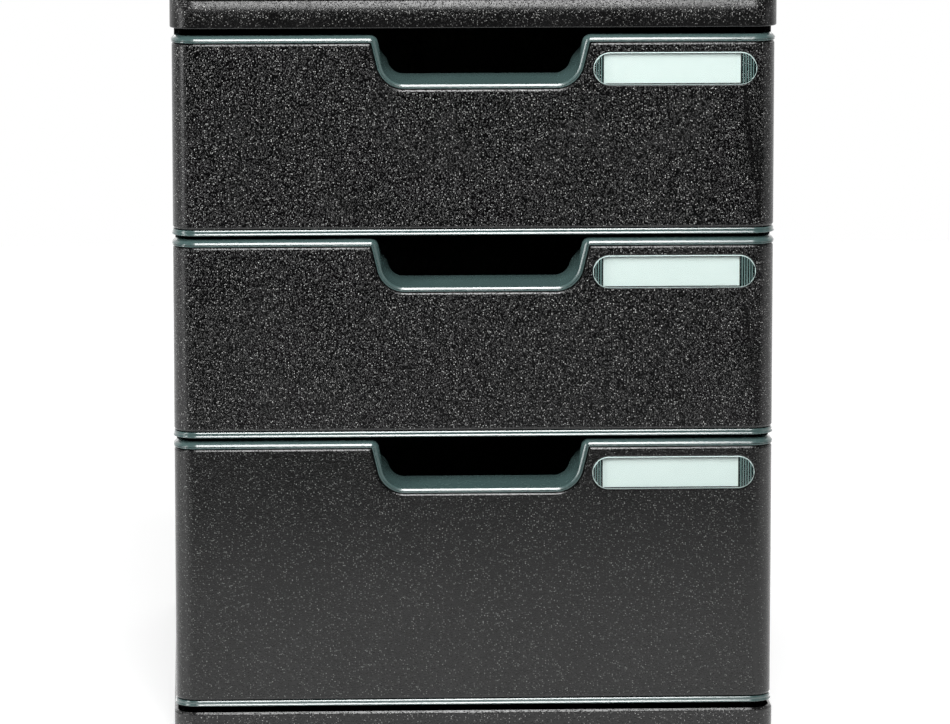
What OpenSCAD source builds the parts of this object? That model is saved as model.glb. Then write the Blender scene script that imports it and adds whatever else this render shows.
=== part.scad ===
// Desktop drawer unit for A4 paper: two shallow drawers over a deep one, in a closed housing.
// Units are millimetres. X is the width, the drawer fronts face -Y, and Z = 0 is under the feet.

/* [Overall] */
// Width of the drawer fronts
front_w = 288; // [284:1:360]
// Depth from the front of the cover to its back
unit_d = 350; // [290:1:420]
// Height of the front of a shallow drawer
shallow_front_h = 95.5; // [75:0.5:150]
// Height of the front of the deep drawer
deep_front_h = 129; // [80:0.5:200]
// Gap between one drawer front and the next
drawer_gap = 1.9; // [1.2:0.1:3]
// Gap between the upper drawer front and the cover
top_gap = 3.5; // [3:0.1:6]
// Gap between the lower drawer front and the base
base_gap = 2.9; // [2:0.1:6]
// Plan radius of the front corners of the drawers
corner_r = 11; // [6:0.5:14]

/* [Cover and base] */
// How far the cover and the base stand out past the drawer fronts
overhang = 0.5; // [0.2:0.1:2]
// Height of the cover
cover_h = 18; // [16:0.5:30]
// Thickness of the top plate of the cover
cover_top_t = 2.5; // [2:0.1:4]
// Radius of the front top edge of the cover
cover_front_r = 12; // [4:0.5:13]
// Radius of the side and back top edges of the cover
cover_side_r = 3; // [1:0.5:5]
// Plan radius of the back corners of the cover and the base
back_corner_r = 3; // [1:0.5:4]
// Height of the base shell
base_h = 12; // [10:0.5:30]
// Thickness of the base floor
base_floor_t = 2.5; // [2:0.1:4]
// Depth of the ribs inside the cover that hold the panels
cover_rib_h = 6; // [5:0.5:10]

/* [Panels] */
// Thickness of the side panels
panel_t = 3; // [2.5:0.1:5]
// How far the side panels lie in from the sides of the drawer fronts
panel_inset = 1.5; // [0.8:0.1:4]
// Thickness of the back panel
back_t = 2.5; // [2:0.1:4]
// Width of the ledges that the drawers run on
ledge_w = 9; // [6:0.5:14]
// Thickness of the ledges and the cross rails
ledge_t = 2.2; // [1.8:0.1:2.3]
// Depth of a cross rail, front to back
rail_d = 20; // [12:1:40]
// How far a rail end enters its pocket in a side panel
rail_lug = 1.4; // [1:0.1:2]
// Fit gap between fixed plastic pieces
fit = 0.1; // [0.05:0.05:0.3]

/* [Trays] */
// Wall thickness of a tray
tray_wall = 2; // [1.5:0.1:3]
// Floor thickness of a tray
tray_floor_t = 2; // [1.5:0.1:3]
// Height of a tray floor's underside above the bottom of its front
run_h = 2.4; // [2.4:0.1:4]
// Gap between a tray and a side panel
side_clear = 0.6; // [0.3:0.1:1.5]
// Gap left behind a closed tray and behind its front
close_clear = 0.5; // [0.3:0.1:1.5]
// Depth of the hollow front of a drawer
block_d = 16.5; // [15:0.5:30]
// Height of the rolled rim of a front
rim_h = 3.6; // [2.5:0.1:6]
// Depth of the rolled rim, front to back
rim_d = 4; // [3:0.5:8]
// Height of the flange under a front
flange_h = 2.6; // [2:0.1:4]
// How far the tray side walls stop below the top of the front
wall_drop = 7; // [6.5:0.5:20]
// Length of the raised heel at the back of each tray side
heel_len = 30; // [15:1:60]
// Gap above a heel
heel_clear = 0.9; // [0.4:0.1:1.5]
// Length of the stop nub on a side panel
nub_len = 4; // [3:0.5:8]

/* [Handle cutout] */
// Width of the cutout at the top of the front
cut_w = 98.6; // [80:0.1:140]
// How far the middle of the cutout lies to the right of the middle of the front
cut_x = 2.8; // [-10:0.1:10]
// Depth of the cutout below the top of the front
cut_depth = 22; // [15:0.5:35]
// Slope of the cutout sides from the vertical, in degrees
cut_slope = 13.8; // [0:0.1:30]
// Radius of the lower corners of the cutout
cut_r = 10; // [5:0.5:12]
// Thickness of the lip behind the rim
lip_t = 2.2; // [1.5:0.1:3]
// How far the wall behind the lip stands up past it
lip_rise = 2.3; // [0:0.1:4]

/* [Fascia and label] */
// Thickness of a fascia
fascia_t = 2.5; // [2:0.1:4]
// How far a fascia lies in from the rim
fascia_inset = 0.4; // [0.2:0.1:1]
// Gap between a fascia and the rim, lip and flange round it
fascia_fit = 0.15; // [0.1:0.05:0.4]
// Width of a label window
window_w = 78.2; // [50:0.1:80]
// Height of a label window
window_h = 16; // [12:0.1:20]
// Distance of the window's outer tip in from the side of the front
window_side = 9.3; // [9:0.1:13]
// Distance of the window centre below the top of the front
window_drop = 16.4; // [14:0.1:30]
// Depth of the pocket that the window sits in
pocket_d = 1.5; // [1:0.1:1.8]
// Distance from the inner tip of the window to the label card
card_gap_in = 5.1; // [4.8:0.1:12]
// Distance from the label card to the outer tip of the window
card_gap_out = 7.9; // [4.8:0.1:12]
// How far the window stands past the card above and below
card_edge = 1; // [0.8:0.1:2]
// Thickness of a label card
card_t = 0.3; // [0.2:0.05:0.5]

/* [Feet and screws] */
// Diameter of a rubber foot
foot_d = 14; // [10:0.5:18]
// Thickness of a rubber foot
foot_t = 5; // [4:0.5:8]
// How far a foot stands out under the base
foot_out = 2; // [1:0.5:3]
// Distance of a foot centre in from the side of the housing
foot_in = 25; // [22:1:60]
// Shank diameter of a base screw
screw_d = 2.9; // [2.5:0.1:4]
// Head diameter of a base screw
screw_head_d = 6.6; // [5.5:0.1:7]
// Head height of a base screw
screw_head_h = 2.2; // [1.5:0.1:2.5]
// Length of a base screw under its head
screw_len = 10; // [8:0.5:11]

/* [Hidden] */
$fn = 64;

// Drawers are counted from the bottom
LOWER = 0;
MIDDLE = 1;
UPPER = 2;
front_h = [deep_front_h, shallow_front_h, shallow_front_h];

// Housing
eps = 0.01;
house_w = front_w + 2 * overhang;
cover_y0 = -unit_d / 2;
cover_y1 = unit_d / 2;
front_y = cover_y0 + overhang;
panel_out_x = front_w / 2 - panel_inset;
panel_in_x = panel_out_x - panel_t;
skirt_t = house_w / 2 - panel_out_x - fit;
housing_front_r = corner_r + overhang;
base_z1 = foot_out + base_h;
base_floor_z = foot_out + base_floor_t;

// Levels of the drawers
function front_z(i) = i == LOWER ? base_z1 + base_gap : front_top(i - 1) + drawer_gap;
function front_top(i) = front_z(i) + front_h[i];
function ledge_top(i) = front_z(i) + run_h;
// Height of the underside of a ledge above the top of the front below it
ledge_over = drawer_gap + run_h - ledge_t;
cover_z0 = front_top(UPPER) + top_gap;
cover_z1 = cover_z0 + cover_h;
panel_z1 = cover_z1 - cover_top_t;

// Places from front to back
panel_y0 = front_y + block_d + close_clear;
panel_y1 = cover_y1 - skirt_t - fit;
back_y0 = panel_y1 - back_t;
rib_t = 2;
rib_w = 4;
rib_y1 = back_y0 - fit;
rib_y0 = rib_y1 - rib_t;
rail_y0 = panel_y0 + 2;
rail_y1 = rail_y0 + rail_d;
nub_y0 = rail_y1 + 1;
nub_y1 = nub_y0 + nub_len;
nub_w = side_clear + 0.85 * tray_wall;
nub_drop = wall_drop - 1.5;

// Trays
tray_x = panel_in_x - side_clear;
tray_y1 = rib_y0 - 2 * close_clear;
heel_y0 = tray_y1 - heel_len;
stop_margin = 1;
travel = heel_y0 - nub_y1 - stop_margin;
tray_rim_t = 2.4;
tray_rim_in = 1.2;
flange_bead = 1.1;
groove_d = 0.4;

// Fascia
clip_w = 10;
clip_t = 2;
clip_side = 32;
clip_under_cut = 40;
clip_x = [-front_w / 2 + clip_side, -clip_under_cut, clip_under_cut, front_w / 2 - clip_side];
clip_z = 34;
clip_hook = 1.2;
clip_fit = 0.2;

// Label
window_x = front_w / 2 - window_side - window_w / 2;
card_w = window_w - card_gap_in - card_gap_out;
card_h = window_h - 2 * card_edge;
card_x = (card_gap_in - card_gap_out) / 2;
card_fit = 0.15;
window_proud = 0.3;
window_step = 0.2;
window_rib_w = 0.6;
window_rib_pitch = 1.2;
window_ribs = 5;

// Screws
boss_d = 8;
pad_r = 6;
pad_t = 2.7;
head_recess = 0.6;
head_gap = 0.8;
shank_gap = 0.7;
slot_size = [3.4, 0.8, 2.4];
screw_x = panel_in_x - boss_d / 2 + 0.5;
screw_end = 25;
screw_y = [panel_y0 + screw_end, 0, tray_y1 - screw_end];
screw_head_z = foot_out + screw_head_h + head_recess;
pad_z1 = screw_head_z + pad_t;
foot_y = [cover_y0 + foot_in, cover_y1 - foot_in];
foot_x = house_w / 2 - foot_in;

echo(travel = travel, height = cover_z1);

// Plan of the front of a drawer, set in by o, running back to depth d. Its front lies at y = o.
module front_plan(o, d) {
  intersection() {
    translate([-(front_w / 2 - o), o])
      square([front_w - 2 * o, d - o]);
    union() {
      translate([-front_w / 2, corner_r])
        square([front_w, d]);
      translate([-(front_w / 2 - corner_r), 0])
        square([front_w - 2 * corner_r, 2 * corner_r]);
      for (s = [-1, 1])
        translate([s * (front_w / 2 - corner_r), corner_r])
          circle(corner_r - o);
    }
  }
}

// Plan of the housing, set in by o, with front corners of radius rf and back corners of radius rb
module housing_plan(o, rf, rb) {
  x1 = house_w / 2 - o;
  y0 = cover_y0 + o;
  y1 = cover_y1 - o;
  translate([-x1, y0 + rf])
    square([2 * x1, y1 - rb - y0 - rf]);
  translate([-x1 + rf, y0])
    square([2 * (x1 - rf), rf + eps]);
  translate([-x1 + rb, y1 - rb - eps])
    square([2 * (x1 - rb), rb + eps]);
  for (s = [-1, 1]) {
    translate([s * (x1 - rf), y0 + rf])
      circle(rf);
    if (rb > 0)
      translate([s * (x1 - rb), y1 - rb])
        circle(rb);
  }
}

// A rectangle from (a0, b0) to (a1, b1) whose upper corners have the radii r0 and r1
module arch(a0, b0, a1, b1, r0, r1) {
  translate([a0, b0])
    square([a1 - a0, b1 - max(r0, r1) - b0]);
  translate([a0 + r0, b0])
    square([a1 - r1 - a0 - r0, b1 - b0]);
  translate([a0, b0])
    square([(a1 - a0) / 2, b1 - r0 - b0]);
  translate([(a0 + a1) / 2, b0])
    square([(a1 - a0) / 2, b1 - r1 - b0]);
  translate([a0 + r0, b1 - r0])
    circle(r0);
  translate([a1 - r1, b1 - r1])
    circle(r1);
}

// Extrudes a Y-Z outline across the width
module across(x1) {
  translate([-x1, 0, 0])
    rotate([90, 0, 90])
      linear_extrude(2 * x1)
        children();
}

// Extrudes an X-Z outline from y0 back to y1
module along(y0, y1) {
  translate([0, y1, 0])
    rotate([90, 0, 0])
      linear_extrude(y1 - y0)
        children();
}

// Points of an arc about c, from angle a0 to angle a1
function arc(c, r, a0, a1, steps) =
  [for (k = [0:steps]) c + r * [cos(a0 + (a1 - a0) * k / steps), sin(a0 + (a1 - a0) * k / steps)]];

// The handle cutout as an X-Z outline grown by o, with z = 0 at the top of the front
cut_steps = 12;
cut_cz = -(cut_depth - cut_r);
cut_cx = cut_w / 2 + cut_cz * tan(cut_slope) - cut_r / cos(cut_slope);
module cutout(o) {
  over = 5;
  x_over = cut_w / 2 + o / cos(cut_slope) + over * tan(cut_slope);
  translate([cut_x, 0])
    polygon(concat(
      [[-x_over, over]],
      arc([-cut_cx, cut_cz], cut_r + o, 180 + cut_slope, 270, cut_steps),
      arc([cut_cx, cut_cz], cut_r + o, 270, 360 - cut_slope, cut_steps),
      [[x_over, over]]
    ));
}

// A stadium outline of overall size w by h
module stadium(w, h) {
  square([w - h, h], center = true);
  for (s = [-1, 1])
    translate([s * (w - h) / 2, 0])
      circle(h / 2);
}

// A block from corner a to corner b
module block(a, b) {
  translate(a)
    cube(b - a);
}

// Top and side faces of the cover, set in by o
module cover_body(o) {
  intersection() {
    translate([0, 0, cover_z0 - (o > 0 ? 1 : 0)])
      linear_extrude(cover_h + 2)
        housing_plan(o, housing_front_r - o, o > 0 ? 0 : back_corner_r);
    across(house_w / 2)
      arch(cover_y0 + o, cover_z0 - 2, cover_y1 - o, cover_z1 - (o > 0 ? cover_top_t : 0),
           cover_front_r - min(o, cover_front_r - 1), cover_side_r - min(o, cover_side_r - 1));
    along(cover_y0, cover_y1)
      arch(-house_w / 2 + o, cover_z0 - 2, house_w / 2 - o, cover_z1 - (o > 0 ? cover_top_t : 0),
           cover_side_r - min(o, cover_side_r - 1), cover_side_r - min(o, cover_side_r - 1));
  }
}

// Places of the snap hooks along the top of a side panel
hook_y = [panel_y0 + 40, 0, back_y0 - 40];
hook_len = 10;
hook_h = 2;
hook_w = 1.2;
hook_z1 = panel_z1 - 2.5;
cover_rib_x = panel_in_x - fit;

module top_cover() {
  color([0.07, 0.07, 0.07])
    difference() {
      union() {
        difference() {
          cover_body(0);
          cover_body(skirt_t);
          // Square seats for the tops of the panels
          block([-panel_out_x - fit, panel_y0 - fit, cover_z0 - 1],
                [panel_out_x + fit, panel_y1 + fit, panel_z1]);
        }
        for (s = [-1, 1])
          block([s > 0 ? cover_rib_x - rib_t : -cover_rib_x, panel_y0, panel_z1 - cover_rib_h],
                [s > 0 ? cover_rib_x : -cover_rib_x + rib_t, rib_y0 - fit, panel_z1 + eps]);
        block([-cover_rib_x + rib_w, rib_y0, panel_z1 - cover_rib_h],
              [cover_rib_x - rib_w, rib_y1, panel_z1 + eps]);
      }
      for (y = hook_y)
        block([-panel_in_x, y - hook_len / 2 - clip_fit, hook_z1 - hook_h - clip_fit],
              [panel_in_x, y + hook_len / 2 + clip_fit, hook_z1 + clip_fit]);
    }
}

module base_plinth() {
  color([0.1, 0.1, 0.1])
    difference() {
      union() {
        difference() {
          translate([0, 0, foot_out])
            linear_extrude(base_h)
              housing_plan(0, housing_front_r, back_corner_r);
          translate([0, 0, base_floor_z])
            linear_extrude(base_h)
              housing_plan(skirt_t, housing_front_r - skirt_t, 0);
        }
        for (s = [-1, 1], y = screw_y)
          block([s > 0 ? screw_x - pad_r : -panel_in_x + fit, y - pad_r, foot_out],
                [s > 0 ? panel_in_x - fit : -screw_x + pad_r, y + pad_r, pad_z1]);
        for (x = [-foot_x, foot_x], y = foot_y)
          translate([x, y, foot_out])
            cylinder(d = foot_d + 2 * base_floor_t, h = foot_t - foot_out + base_floor_t);
      }
      for (s = [-1, 1], y = screw_y)
        translate([s * screw_x, y, foot_out - 1]) {
          cylinder(d = screw_head_d + head_gap, h = screw_head_z - foot_out + 1);
          cylinder(d = screw_d + shank_gap, h = pad_z1 - foot_out + 2);
        }
      for (x = [-foot_x, foot_x], y = foot_y)
        translate([x, y, foot_out - 1])
          cylinder(d = foot_d + 2 * fit, h = foot_t - foot_out + 1);
    }
}

// The right side panel, with its ledges, stop nubs, screw bosses and hooks on the inner face
module side_panel() {
  difference() {
    union() {
      block([panel_in_x, panel_y0, base_floor_z], [panel_out_x, panel_y1, panel_z1]);
      for (i = [LOWER, MIDDLE, UPPER]) {
        // The ledge starts behind the cross rail, where there is one
        block([panel_in_x - ledge_w, i == LOWER ? rail_y0 : rail_y1, ledge_top(i) - ledge_t],
              [panel_in_x + eps, rib_y0 + eps, ledge_top(i)]);
        block([panel_in_x - nub_w, nub_y0, front_top(i) - nub_drop],
              [panel_in_x + eps, nub_y1, front_top(i) + ledge_over + eps]);
      }
      block([panel_in_x - ledge_w, rail_y0, front_top(UPPER) + ledge_over],
            [panel_in_x + eps, rib_y0 + eps, front_top(UPPER) + ledge_over + ledge_t]);
      block([panel_in_x - rib_w, rib_y0, base_floor_z], [panel_in_x + eps, rib_y1, panel_z1]);
      for (y = screw_y)
        translate([screw_x, y, pad_z1])
          cylinder(d = boss_d, h = ledge_top(LOWER) - ledge_t - pad_z1 + eps);
      for (y = hook_y)
        block([panel_in_x - fit - hook_w, y - hook_len / 2, hook_z1 - hook_h],
              [panel_in_x + eps, y + hook_len / 2, hook_z1]);
    }
    for (i = [MIDDLE, UPPER])
      block([panel_in_x - 1, rail_y0 - fit, ledge_top(i) - ledge_t - fit],
            [panel_in_x + rail_lug + fit, rail_y1, ledge_top(i) + fit]);
    for (y = screw_y)
      translate([screw_x, y, pad_z1 - 1])
        cylinder(d = screw_d + fit, h = screw_len - pad_t + 2);
  }
}

module right_side_panel() {
  color([0.09, 0.09, 0.09])
    side_panel();
}

module left_side_panel() {
  color([0.09, 0.09, 0.09])
    mirror([1, 0, 0])
      side_panel();
}

module back_panel() {
  color([0.09, 0.09, 0.09])
    block([-panel_in_x + fit, back_y0, base_floor_z], [panel_in_x - fit, panel_y1, panel_z1]);
}

// The rail that ties the side panels together in front, under drawer i
module cross_rail(i) {
  color([0.06, 0.06, 0.06])
    block([-panel_in_x - rail_lug, rail_y0, ledge_top(i) - ledge_t],
          [panel_in_x + rail_lug, rail_y1 - fit, ledge_top(i)]);
}

module foot(x, y) {
  color([0.03, 0.03, 0.03])
    translate([x, y, 0])
      cylinder(d = foot_d, h = foot_t);
}

module base_screws() {
  color([0.7, 0.7, 0.72])
    for (s = [-1, 1], y = screw_y)
      translate([s * screw_x, y, screw_head_z]) {
        difference() {
          translate([0, 0, -screw_head_h])
            cylinder(d = screw_head_d, h = screw_head_h);
          // Cross slots
          for (a = [0, 90])
            translate([0, 0, -screw_head_h])
              rotate([0, 0, a])
                cube(slot_size, center = true);
        }
        cylinder(d = screw_d, h = screw_len);
      }
}

// Places a child that is drawn with its front at y = 0 and its bottom at z = 0
module at_front(i) {
  translate([0, front_y, front_z(i)])
    children();
}

// The tray of drawer i: a box with a hollow front that carries the fascia
module tray(i) {
  h = front_h[i];
  wall_top = h - wall_drop;
  y1 = tray_y1 - front_y;
  heel_top = h + ledge_over - heel_clear;
  color([0.33, 0.40, 0.39])
    at_front(i)
      difference() {
        union() {
          // Flange under the front, with a groove round it
          linear_extrude(flange_h)
            front_plan(groove_d, block_d);
          for (z = [0, flange_h - flange_bead])
            translate([0, 0, z])
              linear_extrude(flange_bead)
                front_plan(0, block_d);
          // Rim along the top of the front, and round the cutout
          difference() {
            union() {
              translate([0, 0, h - rim_h])
                linear_extrude(rim_h)
                  intersection() {
                    front_plan(0, block_d);
                    rim_zone();
                  }
              translate([0, 0, h - lip_t])
                linear_extrude(lip_t)
                  front_plan(0, block_d);
              translate([0, 0, h])
                along(0, rim_d)
                  intersection() {
                    cutout(rim_h);
                    translate([-front_w / 2, -2 * cut_depth])
                      square([front_w, 2 * cut_depth]);
                  }
              translate([0, 0, h])
                along(0, block_d)
                  intersection() {
                    cutout(lip_t);
                    translate([-front_w / 2, -2 * cut_depth])
                      square([front_w, 2 * cut_depth]);
                  }
            }
            translate([0, 0, h])
              along(-1, block_d + 1)
                cutout(0);
          }
          // Inner wall of the hollow front
          difference() {
            block([-front_w / 2 + fascia_inset + fascia_t + fascia_fit, block_d - tray_wall, run_h],
                  [front_w / 2 - fascia_inset - fascia_t - fascia_fit, block_d, h]);
            translate([0, 0, h])
              along(0, 2 * block_d)
                cutout(-lip_rise);
            for (x = clip_x)
              translate([x, block_d, clip_z])
                cube([clip_w + 2 * clip_fit, 3 * tray_wall, clip_t + 2 * clip_fit], center = true);
          }
          // Floor, side walls and back wall
          block([-tray_x, block_d - tray_wall, run_h], [tray_x, y1, run_h + tray_floor_t]);
          for (s = [-1, 1]) {
            block([s > 0 ? tray_x - tray_wall : -tray_x, block_d - tray_wall, run_h],
                  [s > 0 ? tray_x : -tray_x + tray_wall, y1, wall_top]);
            block([s > 0 ? tray_x - tray_wall : -tray_x, y1 - heel_len, run_h],
                  [s > 0 ? tray_x : -tray_x + tray_wall, y1, heel_top]);
            block([s > 0 ? tray_x - tray_wall - tray_rim_in : -tray_x, block_d - eps, wall_top - tray_rim_t],
                  [s > 0 ? tray_x : -tray_x + tray_wall + tray_rim_in, y1, wall_top]);
          }
          block([-tray_x, y1 - tray_wall, run_h], [tray_x, y1, wall_top]);
          block([-tray_x, y1 - tray_wall - tray_rim_in, wall_top - tray_rim_t], [tray_x, y1, wall_top]);
        }
      }
}

// The strip round the front edge of a front that the rolled rim fills
module rim_zone() {
  difference() {
    translate([-front_w, -1])
      square([2 * front_w, block_d + 2]);
    front_plan(rim_d, 2 * block_d);
  }
}

// The grained outer panel of drawer i
module fascia(i) {
  h = front_h[i];
  z0 = flange_h + fascia_fit;
  z1 = h - rim_h - fascia_fit;
  color([0.06, 0.06, 0.065])
    at_front(i) {
      difference() {
        translate([0, 0, z0])
          linear_extrude(z1 - z0)
            difference() {
              front_plan(fascia_inset, block_d);
              front_plan(fascia_inset + fascia_t, block_d + 1);
            }
        translate([0, 0, h])
          along(-1, corner_r)
            cutout(rim_h + fascia_fit);
        translate([window_x, 0, h - window_drop])
          along(-1, fascia_inset + pocket_d)
            stadium(window_w, window_h);
      }
      for (x = clip_x)
        translate([x, 0, clip_z]) {
          block([-clip_w / 2, fascia_inset + fascia_t - eps, -clip_t / 2],
                [clip_w / 2, block_d + clip_fit + clip_hook, clip_t / 2]);
          // The barb that catches behind the tray wall
          block([-clip_w / 2, block_d + clip_fit, -clip_t / 2],
                [clip_w / 2, block_d + clip_fit + clip_hook, clip_t / 2 + clip_hook]);
        }
    }
}

// The clear window over the label of drawer i, ribbed at both ends
module label_window(i) {
  y0 = fascia_inset - window_proud;
  y1 = fascia_inset + pocket_d;
  color([0.75, 0.85, 0.85, 0.6])
    at_front(i)
      translate([window_x, 0, front_h[i] - window_drop]) {
        difference() {
          along(y0 + window_step, y1)
            stadium(window_w - 2 * fit, window_h - 2 * fit);
          along(y1 - card_t - fit, y1 + 1)
            translate([card_x, 0])
              square([card_w + 2 * card_fit, card_h + 2 * card_fit], center = true);
        }
        // The middle and the ribs at the ends stand slightly proud
        along(y0, y0 + window_step + eps)
          intersection() {
            stadium(window_w - 2 * (fit + window_step), window_h - 2 * (fit + window_step));
            union() {
              translate([card_x, 0])
                square([card_w, window_h], center = true);
              for (s = [-1, 1], k = [1:window_ribs])
                translate([card_x + s * (card_w / 2 + k * window_rib_pitch), 0])
                  square([window_rib_w, window_h], center = true);
            }
          }
      }
}

module label_card(i) {
  y1 = fascia_inset + pocket_d;
  color([0.88, 0.95, 0.93])
    at_front(i)
      translate([window_x + card_x, 0, front_h[i] - window_drop])
        along(y1 - card_t, y1)
          square([card_w, card_h], center = true);
}

top_cover();
base_plinth();
left_side_panel();
right_side_panel();
back_panel();
cross_rail(UPPER);  // upper_cross_rail
cross_rail(MIDDLE);  // lower_cross_rail
foot(-foot_x, foot_y[0]);  // foot_front_left
foot(foot_x, foot_y[0]);  // foot_front_right
foot(-foot_x, foot_y[1]);  // foot_back_left
foot(foot_x, foot_y[1]);  // foot_back_right
base_screws();
tray(UPPER);  // upper_drawer_tray
fascia(UPPER);  // upper_drawer_fascia
label_window(UPPER);  // upper_label_window
label_card(UPPER);  // upper_label_card
tray(MIDDLE);  // middle_drawer_tray
fascia(MIDDLE);  // middle_drawer_fascia
label_window(MIDDLE);  // middle_label_window
label_card(MIDDLE);  // middle_label_card
tray(LOWER);  // lower_drawer_tray
fascia(LOWER);  // lower_drawer_fascia
label_window(LOWER);  // lower_label_window
label_card(LOWER);  // lower_label_card
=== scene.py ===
"""Looks of a closed desktop drawer unit for A4 paper: three drawers in a grained black housing.

Mesh code works in millimetres, and every mesh is scaled to metres when it becomes an object.
"""
import math

import bmesh
import bpy
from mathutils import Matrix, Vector
from mathutils.geometry import delaunay_2d_cdt


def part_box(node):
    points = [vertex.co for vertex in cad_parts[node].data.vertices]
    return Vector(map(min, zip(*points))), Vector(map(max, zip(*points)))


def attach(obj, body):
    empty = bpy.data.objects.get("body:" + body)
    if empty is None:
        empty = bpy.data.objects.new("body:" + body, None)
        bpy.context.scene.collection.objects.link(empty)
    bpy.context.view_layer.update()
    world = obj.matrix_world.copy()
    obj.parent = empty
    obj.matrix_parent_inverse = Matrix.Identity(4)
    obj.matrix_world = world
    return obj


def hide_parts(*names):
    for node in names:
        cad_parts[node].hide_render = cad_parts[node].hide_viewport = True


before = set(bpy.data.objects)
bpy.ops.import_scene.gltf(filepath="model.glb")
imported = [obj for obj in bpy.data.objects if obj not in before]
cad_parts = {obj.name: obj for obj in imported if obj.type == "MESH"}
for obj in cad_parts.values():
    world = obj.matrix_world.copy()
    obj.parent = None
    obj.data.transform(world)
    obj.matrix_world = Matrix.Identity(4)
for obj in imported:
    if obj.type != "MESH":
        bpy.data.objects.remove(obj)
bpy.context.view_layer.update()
scene = bpy.context.scene
MM = 0.001

# ---------------------------------------------------------------- sizes of the drawer fronts, in mm

DRAWERS = ("upper", "middle", "lower")


def box_mm(node):
    """Lowest and highest corner of a CAD node, in mm."""
    return [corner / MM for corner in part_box(node)]


tray_lo, tray_hi = box_mm("upper_drawer_tray")
HALF_W = tray_hi.x
FRONT_Y = tray_lo.y
CORNER_R = 11.0
BLOCK_D = 16.5
RIM_H = 3.6
RIM_D = 4.0
FLANGE_H = 2.6
FASCIA_FIT = 0.15
FASCIA_INSET = 0.4
FASCIA_T = 2.5
REVEAL_TOP = 0.3
REVEAL_BOTTOM = 0.45
RUN_H = 2.4
FLOOR_T = 2.0
WALL_T = 2.0
WALL_DROP = 7.0
PANEL_T = 3.0
RUN_CLEAR = 0.6
HEEL_LEN = 30.0
HEEL_RISE = 1.2
INNER_WALL_X = HALF_W - FASCIA_INSET - FASCIA_T - FASCIA_FIT

CUT_W = 98.6
CUT_X = 2.8
CUT_DEPTH = 22.0
CUT_SLOPE = math.radians(13.8)
CUT_R = 10.0
LIP_RISE = 2.3
LIP_T = 2.2
LIP_ROUND = 0.9
LIP_STATIONS = (5.0, 8.0, 12.0)
CUT_CZ = CUT_R - CUT_DEPTH
CUT_CX = CUT_W / 2 + CUT_CZ * math.tan(CUT_SLOPE) - CUT_R / math.cos(CUT_SLOPE)

# The outside of a front is unrolled: s runs along it from its left end to its right end
ARC = CORNER_R * math.pi / 2
FLAT = HALF_W - CORNER_R
END = FLAT + ARC + BLOCK_D - CORNER_R
CORNER_STEPS = 14
FILLET_STEPS = 8
SIDE_STEPS = 5
SCOOP_STEPS = 16
UPPER_R = 3.8
UPPER_R_MIN = 0.5
END_SPREAD = 3.0
LAND_DROP = 2.0

# Label window
WINDOW_W = 78.0
WINDOW_H = 15.8
WINDOW_DROP = 16.4
WINDOW_SIDE = 9.3
POCKET_GAP = 0.1
POCKET_D = 1.5
WINDOW_X = HALF_W - WINDOW_SIDE - WINDOW_W / 2 - POCKET_GAP
CARD_W = 65.2
CARD_SHIFT = -1.4

CLIP_X = (-112.0, -40.0, 40.0, 112.0)
CLIP_Z = 34.0
CLIP_W = 10.0
CLIP_T = 2.0
CLIP_CLEAR = 0.2
BARB_H = 1.2


def front_levels(key):
    """Bottom and top of the front of a drawer."""
    bottom = box_mm(key + "_drawer_tray")[0].z
    top = box_mm(key + "_drawer_fascia")[1].z + RIM_H + FASCIA_FIT
    return bottom, top


# ---------------------------------------------------------------- small mesh tools


def smoothstep(t):
    t = min(max(t, 0.0), 1.0)
    return t * t * (3 - 2 * t)


def lerp(a, b, t):
    return a + (b - a) * t


def quarter_turn(steps, first=0):
    """Pairs (1 - cos, 1 - sin) of angles in even steps up to a quarter turn, which shape a rounded edge."""
    angles = [math.pi / 2 * k / steps for k in range(first, steps + 1)]
    return [(1 - math.cos(a), 1 - math.sin(a)) for a in angles]


def skin(bm, rows, ring=False, tube=False, caps=False):
    """Quads between rows of points.

    ring joins each row's ends, tube joins the last row to the first, and caps closes both with a face."""
    verts = [[bm.verts.new(p) for p in row] for row in rows]
    count = len(rows[0])
    for k in range(len(rows) if tube else len(rows) - 1):
        a = verts[k]
        b = verts[(k + 1) % len(rows)]
        for i in range(count if ring else count - 1):
            j = (i + 1) % count
            bm.faces.new((a[i], a[j], b[j], b[i]))
    if caps:
        bm.faces.new(verts[0])
        bm.faces.new(verts[-1])
    return verts


def finish_bmesh(bm):
    """Joins points that meet, drops empty faces and turns all faces outward."""
    bmesh.ops.remove_doubles(bm, verts=bm.verts, dist=1e-4)
    bmesh.ops.dissolve_degenerate(bm, edges=bm.edges, dist=1e-5)
    bmesh.ops.recalc_face_normals(bm, faces=bm.faces)


def to_object(name, bm, y0=0.0, z0=0.0):
    """An object in metres from a bmesh in mm, moved to y0 and z0."""
    finish_bmesh(bm)
    mesh = bpy.data.meshes.new(name)
    bm.to_mesh(mesh)
    bm.free()
    for v in mesh.vertices:
        v.co = (v.co + Vector((0, y0, z0))) * MM
    obj = bpy.data.objects.new(name, mesh)
    scene.collection.objects.link(obj)
    return obj


def combine(base, others, operation):
    """Applies a boolean of base with each of the other objects, which are then removed."""
    for other in others:
        mod = base.modifiers.new("cut", "BOOLEAN")
        mod.operation = operation
        mod.solver = "EXACT"
        mod.object = other
    bpy.context.view_layer.update()
    graph = bpy.context.evaluated_depsgraph_get()
    mesh = bpy.data.meshes.new_from_object(base.evaluated_get(graph))
    old = base.data
    base.modifiers.clear()
    base.data = mesh
    bpy.data.meshes.remove(old)
    for other in others:
        bpy.data.meshes.remove(other.data)


# Faces that meet at more than EDGE_ANGLE degrees mark a worn edge, and past SMOOTH_ANGLE they stay sharp
EDGE_ANGLE = 11.0
SMOOTH_ANGLE = 32.0
WINDOW_SMOOTH_ANGLE = 50.0


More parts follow.
